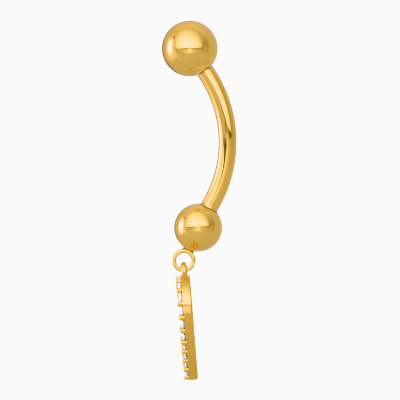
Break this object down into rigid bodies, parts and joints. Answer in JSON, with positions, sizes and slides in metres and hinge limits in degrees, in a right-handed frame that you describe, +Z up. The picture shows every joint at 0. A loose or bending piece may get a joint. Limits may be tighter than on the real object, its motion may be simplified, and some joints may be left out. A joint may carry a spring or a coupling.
{
  "type": "navel ring",
  "caption": "Curved gold navel barbell with a ball at each end and an open heart, set with clear stones, swinging from a ring under the lower ball.",
  "frame": {"origin": "middle of the bar's centreline, where the bar passes through the skin", "axes": "+Z up the bar toward the top ball, +Y to the back, away from the wearer's front, so the stones face -Y; +X to the side that the picture is taken from"},
  "size_m": [0.0092, 0.0067, 0.032],
  "materials": {
    "polished_gold": "mirror-polished 14 karat yellow gold",
    "cast_gold": "cast and polished 14 karat yellow gold",
    "clear_stone": "cut and polished cubic zirconia"
  },
  "bodies": {
    "bar": {"barbell": "polished_gold", "top_ball": "polished_gold"},
    "charm": {"heart_charm": "cast_gold", "stone_01": "clear_stone", "stone_02": "clear_stone", "stone_03": "clear_stone", "stone_04": "clear_stone", "stone_05": "clear_stone", "stone_06": "clear_stone", "stone_07": "clear_stone", "stone_08": "clear_stone", "stone_09": "clear_stone", "stone_10": "clear_stone", "stone_11": "clear_stone", "stone_12": "clear_stone", "stone_13": "clear_stone", "stone_14": "clear_stone", "stone_15": "clear_stone", "stone_16": "clear_stone", "stone_17": "clear_stone", "stone_18": "clear_stone", "stone_19": "clear_stone", "stone_20": "clear_stone", "stone_21": "clear_stone", "stone_22": "clear_stone"}
  },
  "joints": [
    {"name": "charm_swing", "type": "hinge", "parent": "bar", "child": "charm", "pos_m": [0, -0.00389, -0.01138], "axis": [0, 1, 0], "range_deg": [-60, 60]}
  ]
}
